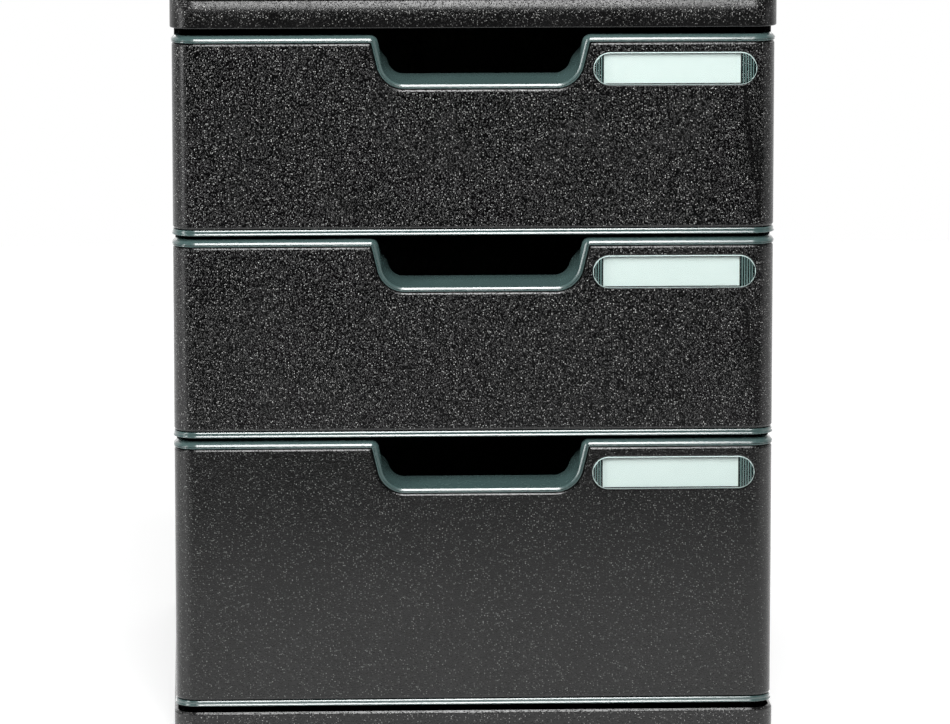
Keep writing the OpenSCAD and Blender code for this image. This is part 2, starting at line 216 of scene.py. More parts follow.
def dress(obj, material, body, node, smooth=SMOOTH_ANGLE):
    """Closes small holes in a piece, gives it its shading, edge mask and material, puts it on its body and
    hides the CAD node that it stands for.
    """
    mesh = obj.data
    bm = bmesh.new()
    bm.from_mesh(mesh)
    bmesh.ops.remove_doubles(bm, verts=bm.verts, dist=2e-7)
    bmesh.ops.holes_fill(bm, edges=[e for e in bm.edges if e.is_boundary], sides=8)
    bmesh.ops.remove_doubles(bm, verts=[v for v in bm.verts if v.is_boundary], dist=1e-4)
    edge_layer = bm.verts.layers.float.new("edge")
    for v in bm.verts:
        turn = 0.0
        for e in v.link_edges:
            if len(e.link_faces) == 2:
                turn = max(turn, e.calc_face_angle(0.0))
        v[edge_layer] = 1.0 if turn > math.radians(EDGE_ANGLE) else 0.0
    bm.to_mesh(mesh)
    bm.free()
    mesh.polygons.foreach_set("use_smooth", [True] * len(mesh.polygons))
    mesh.set_sharp_from_angle(angle=math.radians(smooth))
    mesh.materials.clear()
    mesh.materials.append(material)
    weighted = obj.modifiers.new("flat_faces", "WEIGHTED_NORMAL")
    weighted.keep_sharp = True
    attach(obj, body)
    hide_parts(node)


def rounded_loop(x0, x1, y0, y1, r, steps=6):
    """Points of a rectangle with round corners, counter-clockwise."""
    r = max(r, 0.01)
    points = []
    corners = ((x1 - r, y1 - r, 0), (x0 + r, y1 - r, 90), (x0 + r, y0 + r, 180), (x1 - r, y0 + r, 270))
    for cx, cy, a0 in corners:
        for k in range(steps + 1):
            a = math.radians(a0 + 90 * k / steps)
            points.append((cx + r * math.cos(a), cy + r * math.sin(a)))
    return points


def soft_box(bm, lo, hi, r=0.4, steps=3):
    """A box with rounded edges, as stacked rounded rectangles."""
    levels = [(r * fall, lo[2] + r * rise) for rise, fall in quarter_turn(steps)]
    levels += [(inset, lo[2] + hi[2] - z) for inset, z in reversed(levels)]
    rows = []
    for inset, z in levels:
        loop = rounded_loop(lo[0] + inset, hi[0] - inset, lo[1] + inset, hi[1] - inset, r, steps)
        rows.append([(x, y, z) for x, y in loop])
    skin(bm, rows, ring=True, caps=True)


# ---------------------------------------------------------------- the front of a drawer


def wrap(s, d):
    """Plan point at s along the outside of a front and d in from it, with y = 0 at the front."""
    side = math.copysign(1, s)
    a = abs(s)
    if a <= FLAT:
        return s, d
    if a <= FLAT + ARC:
        turn = (a - FLAT) / CORNER_R
        return (side * (FLAT + (CORNER_R - d) * math.sin(turn)), CORNER_R - (CORNER_R - d) * math.cos(turn))
    return side * (HALF_W - d), CORNER_R + a - FLAT - ARC


def plan(s, d):
    """As wrap, but past the depth of the rim the rows run back to the inner wall."""
    if d <= RIM_D:
        return wrap(s, d)
    x, y = wrap(s, RIM_D)
    back_x = s
    if abs(s) > FLAT:
        forward = (END - abs(s)) / (END - FLAT)
        back_x = math.copysign(lerp(HALF_W - RIM_D - END_SPREAD, FLAT, forward), s)
    t = (d - RIM_D) / (BLOCK_D - RIM_D)
    return lerp(x, back_x, t), lerp(y, BLOCK_D, t)


def half_rim(n, end):
    """Left half of the line round the top and the handle cutout, moved n in towards the fascia.

    Points are (s, z, share of the way into the cutout), with z = 0 at the top of the front."""
    points = [(-end, -n, 0.0)]
    for k in range(CORNER_STEPS + 1):
        points.append((-(FLAT + ARC * (1 - k / CORNER_STEPS)), -n, 0.0))
    r = max(UPPER_R - n, UPPER_R_MIN)
    turn = math.pi / 2 - CUT_SLOPE
    corner_x = CUT_W / 2 + n / math.cos(CUT_SLOPE) - n * math.tan(CUT_SLOPE)
    cx = -(corner_x + r * math.tan(turn / 2))
    for k in range(FILLET_STEPS + 1):
        a = turn * k / FILLET_STEPS
        points.append((cx + r * math.sin(a), -n - r + r * math.cos(a), 0.0))
    scoop = []
    for k in range(SCOOP_STEPS + 1):
        a = lerp(math.pi + CUT_SLOPE, 1.5 * math.pi, k / SCOOP_STEPS)
        scoop.append((-CUT_CX + (CUT_R + n) * math.cos(a), CUT_CZ + (CUT_R + n) * math.sin(a), 1.0))
    x0, z0, _ = points[-1]
    x1, z1, _ = scoop[0]
    for k in range(1, SIDE_STEPS):
        t = k / SIDE_STEPS
        points.append((lerp(x0, x1, t), lerp(z0, z1, t), smoothstep(t)))
    return points + scoop


def rim_line(n, end=END):
    """The whole line from left to right. All of it between the corners moves with the cutout."""
    left = half_rim(n, end)
    line = left + [(-s, z, w) for s, z, w in reversed(left)]
    return [(s + CUT_X if abs(s) < FLAT else s, z, w) for s, z, w in line]


def rim_row(n_top, n_cut, d, height):
    """Points of a row round the top of a front: n_top in from the top, n_cut in from the cutout, d deep."""
    row = []
    for (s0, z0, w), (s1, z1, _) in zip(rim_line(n_top), rim_line(n_cut)):
        x, y = plan(lerp(s0, s1, w), d)
        row.append((x, y, height + lerp(z0, z1, w)))
    return row


# Section of the rim, as (n, d) points: n down from its top and d in from its front
SHOULDER = ((1.1, 0.95), (0.6, 1.5), (0.15, 2.3), (0.0, 3.3))
RIM_FACE = ((1.34, 0.68), (1.5, 0.49), (2.06, 0.15), (2.2, 0.04), (2.34, 0.0), (2.46, 0.08), (2.54, 0.3),
            (2.6, 0.5), (2.7, 0.3), (2.82, 0.22), (3.22, 0.2), (3.34, 0.26), (3.42, 0.42), (3.42, 1.7))


def rim_and_lip(height):
    """The rolled rim, and the lip behind it that rises to the inner wall."""
    bm = bmesh.new()
    rows = [rim_row(n, n, d, height) for n, d in ((RIM_H, RIM_D), *reversed(RIM_FACE))]
    back = BLOCK_D
    round_r = LIP_ROUND
    front_n, front_d = RIM_FACE[0]
    shoulder_d = SHOULDER[-1][1]
    slope = (LIP_RISE + front_n) / (back - round_r - front_d)
    for n, d in SHOULDER:
        rows.append(rim_row(n, front_n - slope * (d - front_d), d, height))
    for d in (*LIP_STATIONS, back - round_r):
        fall = LAND_DROP * smoothstep((d - shoulder_d) / (back - round_r - shoulder_d))
        rows.append(rim_row(fall, front_n - slope * (d - front_d), d, height))
    for rise, fall in quarter_turn(3, 1):
        n = round_r * rise
        rows.append(rim_row(LAND_DROP + n, n - LIP_RISE, back - round_r * fall, height))
    rows.append(rim_row(LAND_DROP + LIP_T, LIP_T - LIP_RISE, back, height))
    rows.append(rim_row(LIP_T, LIP_T, RIM_D + 0.3, height))
    verts = skin(bm, rows, tube=True)
    bm.faces.new([row[0] for row in verts])
    bm.faces.new([row[-1] for row in verts])
    return bm


# Section of the flange under a fascia, as (z, d) points
FLANGE_FACE = ((FLANGE_H, RIM_D), (FLANGE_H, 0.78), (2.54, 0.7), (2.16, 0.47), (2.06, 0.42), (1.9, 0.4),
               (1.16, 0.4), (1.08, 0.37), (0.7, 0.15), (0.58, 0.05), (0.46, 0.01), (0.34, 0.0),
               (0.16, 0.06), (0.05, 0.2), (0.0, 0.45), (0.0, RIM_D))


def flange():
    """The double bead and plate under the fascia."""
    stations = [-END] + [-(FLAT + ARC * (1 - k / CORNER_STEPS)) for k in range(CORNER_STEPS + 1)]
    stations += [-s for s in reversed(stations)]
    bm = bmesh.new()
    rows = []
    for z, d in FLANGE_FACE:
        rows.append([(*wrap(s, d), z) for s in stations])
    verts = skin(bm, rows, caps=True)
    ends = [row[0] for row in verts] + [row[-1] for row in reversed(verts)]
    bm.faces.new(ends)
    return bm


def prism(outline, y0, y1):
    """A solid with an X-Z outline, from y0 back to y1."""
    bm = bmesh.new()
    skin(bm, [[(x, y, z) for x, z in outline] for y in (y0, y1)], ring=True, caps=True)
    return bm


def notch_line(under, height):
    """X-Z points along the middle of the lip, from left to right, under further down."""
    top = LAND_DROP + LIP_T / 2 + under
    cut = LIP_T / 2 - LIP_RISE + under
    return [(x, z) for x, _, z in rim_row(top, cut, 0.0, height) if abs(x) < CUT_W]


def inner_wall(height):
    """The wall behind the hollow front, notched under the lip."""
    line = notch_line(0.0, height)
    top = line[0][1]
    outline = [(-INNER_WALL_X, RUN_H + 0.2), (-INNER_WALL_X, top)] + line
    outline += [(INNER_WALL_X, top), (INNER_WALL_X, RUN_H + 0.2)]
    return prism(outline, BLOCK_D - WALL_T, BLOCK_D - 0.3)


def wall_notch(height):
    """The opening in the front wall of the tray's box, a little larger than that in the inner wall."""
    line = notch_line(0.3, height)
    over = height + 5.0
    outline = [(line[0][0], over)] + line + [(line[-1][0], over)]
    return prism(outline, BLOCK_D - 2 * WALL_T, BLOCK_D + 2 * WALL_T)


def tray_box(height, half, back):
    """The open box behind the front, with round inside corners and a beaded top edge."""
    outer_r = 4.0
    wall_top = height - WALL_DROP
    bead_in = 1.2
    bead_h = 2.4
    front = BLOCK_D - WALL_T + 0.15
    front_in = BLOCK_D - 0.5
    fillet = 3.0
    # Each level is (inset, share of the way from the front's outer to its inner face, z, corner radius)
    levels = [(1.2, 0.0, RUN_H, outer_r), (0.35, 0.0, RUN_H + 0.3, outer_r)]
    levels += [(0.0, 0.0, RUN_H + 1.1, outer_r), (0.0, 0.0, wall_top - 0.8, outer_r)]
    levels += [(0.25, 0.0, wall_top - 0.2, outer_r), (0.8, 0.3, wall_top, 3.6)]
    inner_r = 2.6
    full = WALL_T + bead_in
    levels += [(full - 0.8, 1.0, wall_top, inner_r), (full - 0.2, 1.0, wall_top - 0.25, inner_r)]
    levels += [(full, 1.0, wall_top - 0.8, inner_r), (full - 0.1, 1.0, wall_top - bead_h, inner_r)]
    levels += [(WALL_T + 0.2, 1.0, wall_top - bead_h - 0.4, inner_r)]
    floor_z = RUN_H + FLOOR_T
    for rise, fall in quarter_turn(6):
        levels.append((WALL_T + fillet * rise, 1.0, floor_z + fillet * fall, inner_r))
    rows = []
    for inset, inside, z, r in levels:
        y0 = lerp(front, front_in, inside) + (max(0.0, inset - WALL_T) if z < floor_z + fillet else 0.0)
        loop = rounded_loop(-half + inset, half - inset, y0, back - inset, r)
        rows.append([(x, y, z) for x, y in loop])
    bm = bmesh.new()
    skin(bm, rows, ring=True, caps=True)
    return bm


def heels(height, half, back):
    """The raised heels at the back of the side walls, which meet the stop nubs."""
    z0 = height - WALL_DROP - 2
    z1 = height + HEEL_RISE
    y0 = back - HEEL_LEN
    slope = 2.0
    outline = [(y0, z0), (y0, z1 - slope), (y0 + slope * 0.3, z1 - slope * 0.3), (y0 + slope, z1)]
    outline += [(back - 4.0, z1), (back - 1.2, z1 - 1.2), (back - 0.2, z1 - 4.0), (back - 0.2, z0)]
    bm = bmesh.new()
    for side in (-1, 1):
        rows = [[(side * x, y, z) for y, z in outline] for x in (half - WALL_T + 0.02, half - 0.02)]
        skin(bm, rows, ring=True, caps=True)
    return bm


def make_tray(key, material):
    """A drawer's tray: its box, the rolled front, the flange, the heels and the slots for the clips."""
    bottom, top = front_levels(key)
    height = top - bottom
    half = box_mm("right_side_panel")[1].x - PANEL_T - RUN_CLEAR
    back = box_mm(key + "_drawer_tray")[1].y - FRONT_Y
    tray = to_object(key + "_tray", tray_box(height, half, back), FRONT_Y, bottom)
    combine(tray, [to_object("cut_notch", wall_notch(height), FRONT_Y, bottom)], "DIFFERENCE")
    adds = [
        to_object("add_wall", inner_wall(height), FRONT_Y, bottom),
        to_object("add_lip", rim_and_lip(height), FRONT_Y, bottom),
        to_object("add_flange", flange(), FRONT_Y, bottom),
        to_object("add_heels", heels(height, half, back), FRONT_Y, bottom),
    ]
    combine(tray, adds, "UNION")
    slots = bmesh.new()
    across = CLIP_W / 2 + CLIP_CLEAR
    up = CLIP_T / 2 + CLIP_CLEAR
    for x in CLIP_X:
        lo = (x - across, BLOCK_D - 2 * WALL_T, CLIP_Z - up)
        hi = (x + across, BLOCK_D + WALL_T, CLIP_Z + up)
        soft_box(slots, lo, hi, 0.2, 1)
    combine(tray, [to_object("cut_slots", slots, FRONT_Y, bottom)], "DIFFERENCE")
    dress(tray, material, key + "_drawer", key + "_drawer_tray")


# ---------------------------------------------------------------- fascia


def stadium(width, height, steps=14):
    """Points of a stadium outline about its centre, counter-clockwise."""
    r = height / 2
    cx = width / 2 - r
    points = []
    for side, a0 in ((1, -90), (-1, 90)):
        for k in range(steps + 1):
            a = math.radians(a0 + 180 * k / steps)
            points.append((side * cx + r * math.cos(a), r * math.sin(a)))
    return points


def fascia_loop(inset, height):
    """Outline of a fascia, inset all round, as (s, z) points."""
    end = END - inset
    top = [(s, height + z) for s, z, _ in rim_line(RIM_H + REVEAL_TOP + inset, end)]
    z0 = FLANGE_H + REVEAL_BOTTOM + inset
    stations = [end] + [FLAT + ARC * (1 - k / CORNER_STEPS) for k in range(CORNER_STEPS + 1)]
    stations += [-s for s in reversed(stations)]
    return top + [(s, z0) for s in stations]


def encloses(loop, point):
    """True if the point lies inside a loop of (vertex, s, z), by counting crossings."""
    inside = False
    for k, (_, s0, z0) in enumerate(loop):
        _, s1, z1 = loop[k - 1]
        if (z0 > point.y) != (z1 > point.y):
            if point.x < s0 + (point.y - z0) * (s1 - s0) / (z1 - z0):
                inside = not inside
    return inside


def fill(bm, loops, uprights):
    """Triangles inside the first loop of (vertex, s, z), with the other loops as holes."""
    verts = []
    points = []
    edges = []
    for loop in loops:
        first = len(points)
        for k, (v, s, z) in enumerate(loop):
            verts.append(v)
            points.append(Vector((s, z)))
            edges.append((first + k, first + (k + 1) % len(loop)))
    edges += uprights
    _, _, faces, origin, _, _ = delaunay_2d_cdt(points, edges, [], 2, 1e-5)
    for face in faces:
        centre = sum((points[origin[i][0]] for i in face), Vector((0, 0))) / 3
        if not any(encloses(hole, centre) for hole in loops[1:]):
            bm.faces.new([verts[origin[i][0]] for i in face])


def corner_uprights(loop, reach):
    """Index pairs that join the top of a fascia outline to its bottom at each step round a corner.

    On the right they start past reach, where the label pocket ends."""
    low = 2 + CORNER_STEPS
    count = len(loop)
    bottom_first = count - 2 * low
    pairs = []
    for k in range(1, low):
        pairs.append((k, count - 1 - k))
        if loop[bottom_first + k][0] > reach:
            pairs.append((bottom_first - 1 - k, bottom_first + k))
    return pairs


# Edge of a fascia, as (inset, d) points: the chamfer that catches the light lies between two small rounds
FASCIA_EDGE = ((0.0, 0.85), (0.03, 0.66), (0.08, 0.52), (0.17, 0.44), (0.8, 0.08), (0.95, 0.02),
               (1.12, 0.0))
# Flat strips beside the rounded edges, which keep their shading apart from that of the wide face
HOLD = 0.4
HOLE_HOLD = 0.25
POCKET_EDGE_R = 0.35


def fascia_mesh(height):
    """The grained panel: rounded edges all round, a notch for the rim and a pocket for the label."""
    bm = bmesh.new()
    face_d = FASCIA_INSET
    levels = [(0.0, face_d + FASCIA_T)]
    levels += [(inset, face_d + d) for inset, d in FASCIA_EDGE]
    levels.append((FASCIA_EDGE[-1][0] + HOLD, face_d))
    loops = [fascia_loop(inset, height) for inset, _ in levels]
    rows = []
    for (inset, d), loop in zip(levels, loops):
        rows.append([(*wrap(s, d), z) for s, z in loop])
    verts = skin(bm, rows, ring=True)
    r = POCKET_EDGE_R
    holes = [(r + HOLE_HOLD, face_d), (r, face_d), (r * 0.3, face_d + r * 0.3)]
    holes += [(0.0, face_d + r), (0.0, face_d + POCKET_D)]
    hole_rows = []
    hole_line = None
    for grow, d in holes:
        outline = stadium(WINDOW_W + 2 * (POCKET_GAP + grow), WINDOW_H + 2 * (POCKET_GAP + grow))
        line = [(WINDOW_X + x, height - WINDOW_DROP + z) for x, z in outline]
        hole_line = hole_line or line
        on_floor = d == holes[-1][1]
        hole_rows.append([(s, d, z) if on_floor else (*wrap(s, d), z) for s, z in line])
    hole_verts = skin(bm, hole_rows, ring=True)
    bm.faces.new(hole_verts[-1])
    reach = max(s for s, _ in hole_line) + 0.2
    outer = [(v, s, z) for v, (s, z) in zip(verts[-1], loops[-1])]
    hole = [(v, s, z) for v, (s, z) in zip(hole_verts[0], hole_line)]
    fill(bm, [outer, hole], corner_uprights(loops[-1], reach))
    fill(bm, [[(v, s, z) for v, (s, z) in zip(verts[0], loops[0])]], corner_uprights(loops[0], FLAT - 1))
    return bm


def clip_boxes(y0, y1, z0, z1):
    """Boxes of the clips' width at each clip."""
    bm = bmesh.new()
    for x in CLIP_X:
        soft_box(bm, (x - CLIP_W / 2, y0, z0), (x + CLIP_W / 2, y1, z1), 0.25, 2)
    return bm


def make_fascia(key, material):
    """A drawer's black panel with the clips that hold it in the tray."""
    bottom, top = front_levels(key)
    fascia = to_object(key + "_fascia", fascia_mesh(top - bottom), FRONT_Y, bottom)
    root = FASCIA_INSET + FASCIA_T - 0.4
    catch = BLOCK_D + CLIP_CLEAR
    tip = catch + BARB_H
    crown = CLIP_Z + CLIP_T / 2
    clips = clip_boxes(root, tip, CLIP_Z - CLIP_T / 2, crown)
    barbs = clip_boxes(catch, tip, CLIP_Z, crown + BARB_H)
    adds = [to_object("add_clips", clips, FRONT_Y, bottom), to_object("add_barbs", barbs, FRONT_Y, bottom)]
    combine(fascia, adds, "UNION")
    dress(fascia, material, key + "_drawer", key + "_drawer_fascia")


# ---------------------------------------------------------------- label window and card

RIBS = 5
RIB_PITCH = 1.2
RIB_H = 0.22
RIB_CREST = 0.93
RIB_STEPS = 10
WINDOW_EDGE = 0.5
WINDOW_HOLD = 0.4
WINDOW_PROUD = 0.1
CARD_ROOM = 0.4


def rib_wave(x):
    """Height of the ribs at x from the window's centre, before they fade at the edge."""
    past = abs(x - CARD_SHIFT) - CARD_W / 2 - RIB_PITCH / 2
    if past < 0 or past > RIBS * RIB_PITCH:
        return 0.0
    return RIB_H * math.sqrt(abs(math.sin(math.pi * past / RIB_PITCH)))


def window_mesh(height):
    """The clear window: a stadium with a rounded edge, and upright ribs in its two ends."""
    r = WINDOW_H / 2
    cx = WINDOW_W / 2 - r
    xs = {round(-CARD_W / 2 + CARD_SHIFT + k * CARD_W / 6, 4) for k in range(7)}
    for side in (-1, 1):
        start = CARD_SHIFT + side * (CARD_W / 2 + RIB_PITCH / 2)
        xs |= {round(start + side * RIB_PITCH * k / RIB_STEPS, 4) for k in range(RIBS * RIB_STEPS + 1)}
        xs |= {round(side * (cx + r * math.sin(math.pi / 2 * k / 14)), 4) for k in range(15)}
    xs = sorted(x for x in xs if abs(x) <= WINDOW_W / 2)
    front = FASCIA_INSET - WINDOW_PROUD
    back = FASCIA_INSET + POCKET_D - CARD_ROOM
    shape = [(0.0, front + WINDOW_EDGE)]
    for rise, fall in quarter_turn(4, 1):
        shape.append((WINDOW_EDGE * rise, front + WINDOW_EDGE * fall))
    shape.append((WINDOW_EDGE + WINDOW_HOLD, front))
    rows = []
    for x in xs:
        tip = max(abs(x) - cx, 0.0)
        half = math.sqrt(max(r * r - tip * tip, 0.0004))
        squeeze = min(1.0, half / (2 * (WINDOW_EDGE + WINDOW_HOLD)))
        lower = [(back, -half)]
        for inset, d in shape:
            ridge = rib_wave(x) * (1.0 if inset > WINDOW_EDGE else 0.0)
            lower.append((d - ridge, -half + inset * squeeze))
        section = lower + [(y, -z) for y, z in reversed(lower)]
        rows.append([(WINDOW_X + x, y, z + height - WINDOW_DROP) for y, z in section])
    bm = bmesh.new()
    skin(bm, rows, ring=True, caps=True)
    return bm


def make_label(key, window_material, outline_highlight_material, rib_highlight_material, card_material):
    """A label window whose rounded edge and rib crests carry painted highlights in materials of their own,
    and the card behind it.
    """
    bottom, top = front_levels(key)
    body = key + "_drawer"
    window = to_object(key + "_window", window_mesh(top - bottom), FRONT_Y, bottom)
    dress(window, window_material, body, key + "_label_window", WINDOW_SMOOTH_ANGLE)
    ribs = window.data.attributes.new("ribs", "FLOAT", "POINT")
    for v, mark in zip(window.data.vertices, ribs.data):
        x = v.co.x / MM - WINDOW_X
        past = abs(x - CARD_SHIFT) - CARD_W / 2
        mark.value = 1.0 - 0.6 * rib_wave(x) / RIB_H if past > 0.3 else 0.0
    window.data.materials.append(outline_highlight_material)
    window.data.materials.append(rib_highlight_material)
    r = WINDOW_H / 2
    for face in window.data.polygons:
        x = face.center.x / MM - WINDOW_X
        z = face.center.z / MM - (top - WINDOW_DROP)
        rim = r - math.hypot(max(abs(x) - WINDOW_W / 2 + r, 0.0), z)
        if face.center.y / MM >= FRONT_Y + FASCIA_INSET + WINDOW_EDGE:
            continue
        # The rounded edge gets the painted outline highlight, and the rib crests get the painted rib
        # highlights
        if rim < WINDOW_EDGE:
            face.material_index = 1
        elif rib_wave(x) > RIB_CREST * RIB_H:
            face.material_index = 2
    lo, hi = box_mm(key + "_label_card")
    bm = bmesh.new()
    soft_box(bm, lo, hi, 0.1, 2)
    card = to_object(key + "_card", bm)
    dress(card, card_material, body, key + "_label_card")


# ---------------------------------------------------------------- cover and base

SKIRT_T = 1.9
SHELL_BACK_R = 3.0
COVER_T = 2.5
COVER_LOW_R = 0.55
COVER_FRONT_R = 11.3
COVER_SIDE_R = 3.0
BASE_TOP = 14.0
BASE_T = 2.5
BASE_LOW_R = 0.9
FEET = ("foot_front_left", "foot_front_right", "foot_back_left", "foot_back_right")

# Screw pads, countersinks, screw holes and foot pockets, in the base
PAD_HALF = 5.9
PAD_TOP = 7.5
SINK_TOP = 4.8
SINK_R = 3.7
HOLE_TOP = 9.0
HOLE_R = 1.8
SCREWS_APART = 8.0
FOOT_PAD_T = 2.5
FOOT_PAD_R = 9.5
FOOT_POCKET_R = 7.1
FOOT_RIM_R = 0.7


def shell_plan(half_x, y0, y1, front_r, back_r, steps=16):
    """Plan points of the housing with outward normals and the share of the way from the front to a side."""
    points = []
    corners = ((1, y0 + front_r, front_r, -90), (1, y1 - back_r, back_r, 0),
               (-1, y1 - back_r, back_r, 90), (-1, y0 + front_r, front_r, 180))
    for side, cy, r, a0 in corners:
        cx = side * (half_x - r)
        for k in range(steps + 1):
            a = math.radians(a0 + 90 * k / steps)
            normal = (math.cos(a), math.sin(a))
            points.append((cx + r * normal[0], cy + r * normal[1], normal, max(0.0, -normal[1])))
    return points


def shell_rows(points, levels):
    """A row of plan points at each level of (inset, z)."""
    rows = []
    for inset, z in levels:
        rows.append([(x - nx * inset, y - ny * inset, z) for x, y, (nx, ny), _ in points])
    return rows


def make_cover(material):
    """The cover: a shell with a large round at its front and small ones at its sides and back."""
    lo, hi = box_mm("top_cover")
    points = shell_plan(hi.x, lo.y, hi.y, CORNER_R + hi.x - HALF_W, SHELL_BACK_R)
    z0 = lo.z
    z1 = hi.z
    levels = [(SKIRT_T, z1 - COVER_T), (SKIRT_T, z0 + 0.3), (SKIRT_T - 0.3, z0), (COVER_LOW_R, z0)]
    levels += [(COVER_LOW_R * fall, z0 + COVER_LOW_R * rise) for rise, fall in quarter_turn(4, 1)]
    rows = shell_rows(points, levels)
    for rise, fall in quarter_turn(14):
        row = []
        for x, y, (nx, ny), forward in points:
            r = lerp(COVER_SIDE_R, COVER_FRONT_R, smoothstep(forward * 1.6 - 0.6))
            inset = r * rise
            row.append((x - nx * inset, y - ny * inset, z1 - r * fall))
        rows.append(row)
    bm = bmesh.new()
    skin(bm, rows, ring=True, caps=True)
    dress(to_object("cover", bm), material, "housing", "top_cover")


def make_base(material):
    """The base: a shallow shell with screw pads and foot pockets under it."""
    lo, hi = box_mm("base_plinth")
    points = shell_plan(hi.x, lo.y, hi.y, CORNER_R + hi.x - HALF_W, SHELL_BACK_R)
    z0 = lo.z
    z1 = BASE_TOP
    levels = [(SKIRT_T, z0 + BASE_T), (SKIRT_T, z1 - 0.2), (SKIRT_T - 0.2, z1), (0.95, z1)]
    levels += [(0.78, z1 - 0.06), (0.16, z1 - 0.9), (0.04, z1 - 1.1), (0.0, z1 - 1.35)]
    levels += [(BASE_LOW_R * rise, z0 + BASE_LOW_R * fall) for rise, fall in quarter_turn(4)]
    bm = bmesh.new()
    skin(bm, shell_rows(points, levels), ring=True, caps=True)
    base = to_object("base", bm)
    pads = bmesh.new()
    holes = bmesh.new()
    sinks = bmesh.new()
    pad_z = z0 + 0.5
    under = z0 - 1
    for x, y, _ in screw_places():
        soft_box(pads, (x - PAD_HALF, y - PAD_HALF, pad_z), (x + PAD_HALF, y + PAD_HALF, PAD_TOP), 0.3, 2)
        disc(sinks, x, y, under, SINK_TOP, SINK_R)
        disc(holes, x, y, under, HOLE_TOP, HOLE_R)
    for name in FEET:
        foot_lo, foot_hi = box_mm(name)
        x = (foot_lo.x + foot_hi.x) / 2
        y = (foot_lo.y + foot_hi.y) / 2
        disc(pads, x, y, pad_z, foot_hi.z + FOOT_PAD_T, FOOT_PAD_R)
        disc(sinks, x, y, under, foot_hi.z, FOOT_POCKET_R)
    combine(base, [to_object("add_pads", pads)], "UNION")
    combine(base, [to_object("cut_sinks", sinks), to_object("cut_holes", holes)], "DIFFERENCE")
    dress(base, material, "housing", "base_plinth")


def screw_places():
    """Centres of the base screws, from the clusters of their node's vertices."""
    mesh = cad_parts["base_screws"].data
    places = []
    for v in mesh.vertices:
        p = v.co / MM
        near = [c for c in places if math.hypot(c[0] / c[2] - p.x, c[1] / c[2] - p.y) < SCREWS_APART]
        if near:
            near[0][0] += p.x
            near[0][1] += p.y
            near[0][2] += 1
        else:
            places.append([p.x, p.y, 1])
    return [(x / count, y / count, count) for x, y, count in places]


def circle(x, y, z, r, steps):
    """Points of a level circle."""
    turns = [2 * math.pi * k / steps for k in range(steps)]
    return [(x + r * math.cos(a), y + r * math.sin(a), z) for a in turns]


def disc(bm, x, y, z0, z1, r):
    """A plain upright cylinder."""
    skin(bm, [circle(x, y, z, r, 40) for z in (z0, z1)], ring=True, caps=True)


def make_foot(name, material):
    """A turned rubber foot with a rounded rim and a dished sole."""
    lo, hi = box_mm(name)
    x = (lo.x + hi.x) / 2
    y = (lo.y + hi.y) / 2
    r = hi.x - x
    profile = [(0.0, lo.z + 0.35), (r * 0.55, lo.z + 0.3), (r * 0.66, lo.z)]
    profile += [(r - FOOT_RIM_R * fall, lo.z + FOOT_RIM_R * rise) for rise, fall in quarter_turn(5)]
    profile += [(r, hi.z - 0.3), (r - 0.3, hi.z), (0.0, hi.z)]
    bm = bmesh.new()
    skin(bm, [circle(x, y, z, radius, 48) for radius, z in profile], ring=True)
    dress(to_object(name + "_pad", bm), material, "housing", name)


# ---------------------------------------------------------------- materials


def feed(links, socket, value):
    """Sets an input to a value, or joins another node's output to it."""
    if isinstance(value, bpy.types.NodeSocket):
        links.new(value, socket)
    else:
        socket.default_value = value


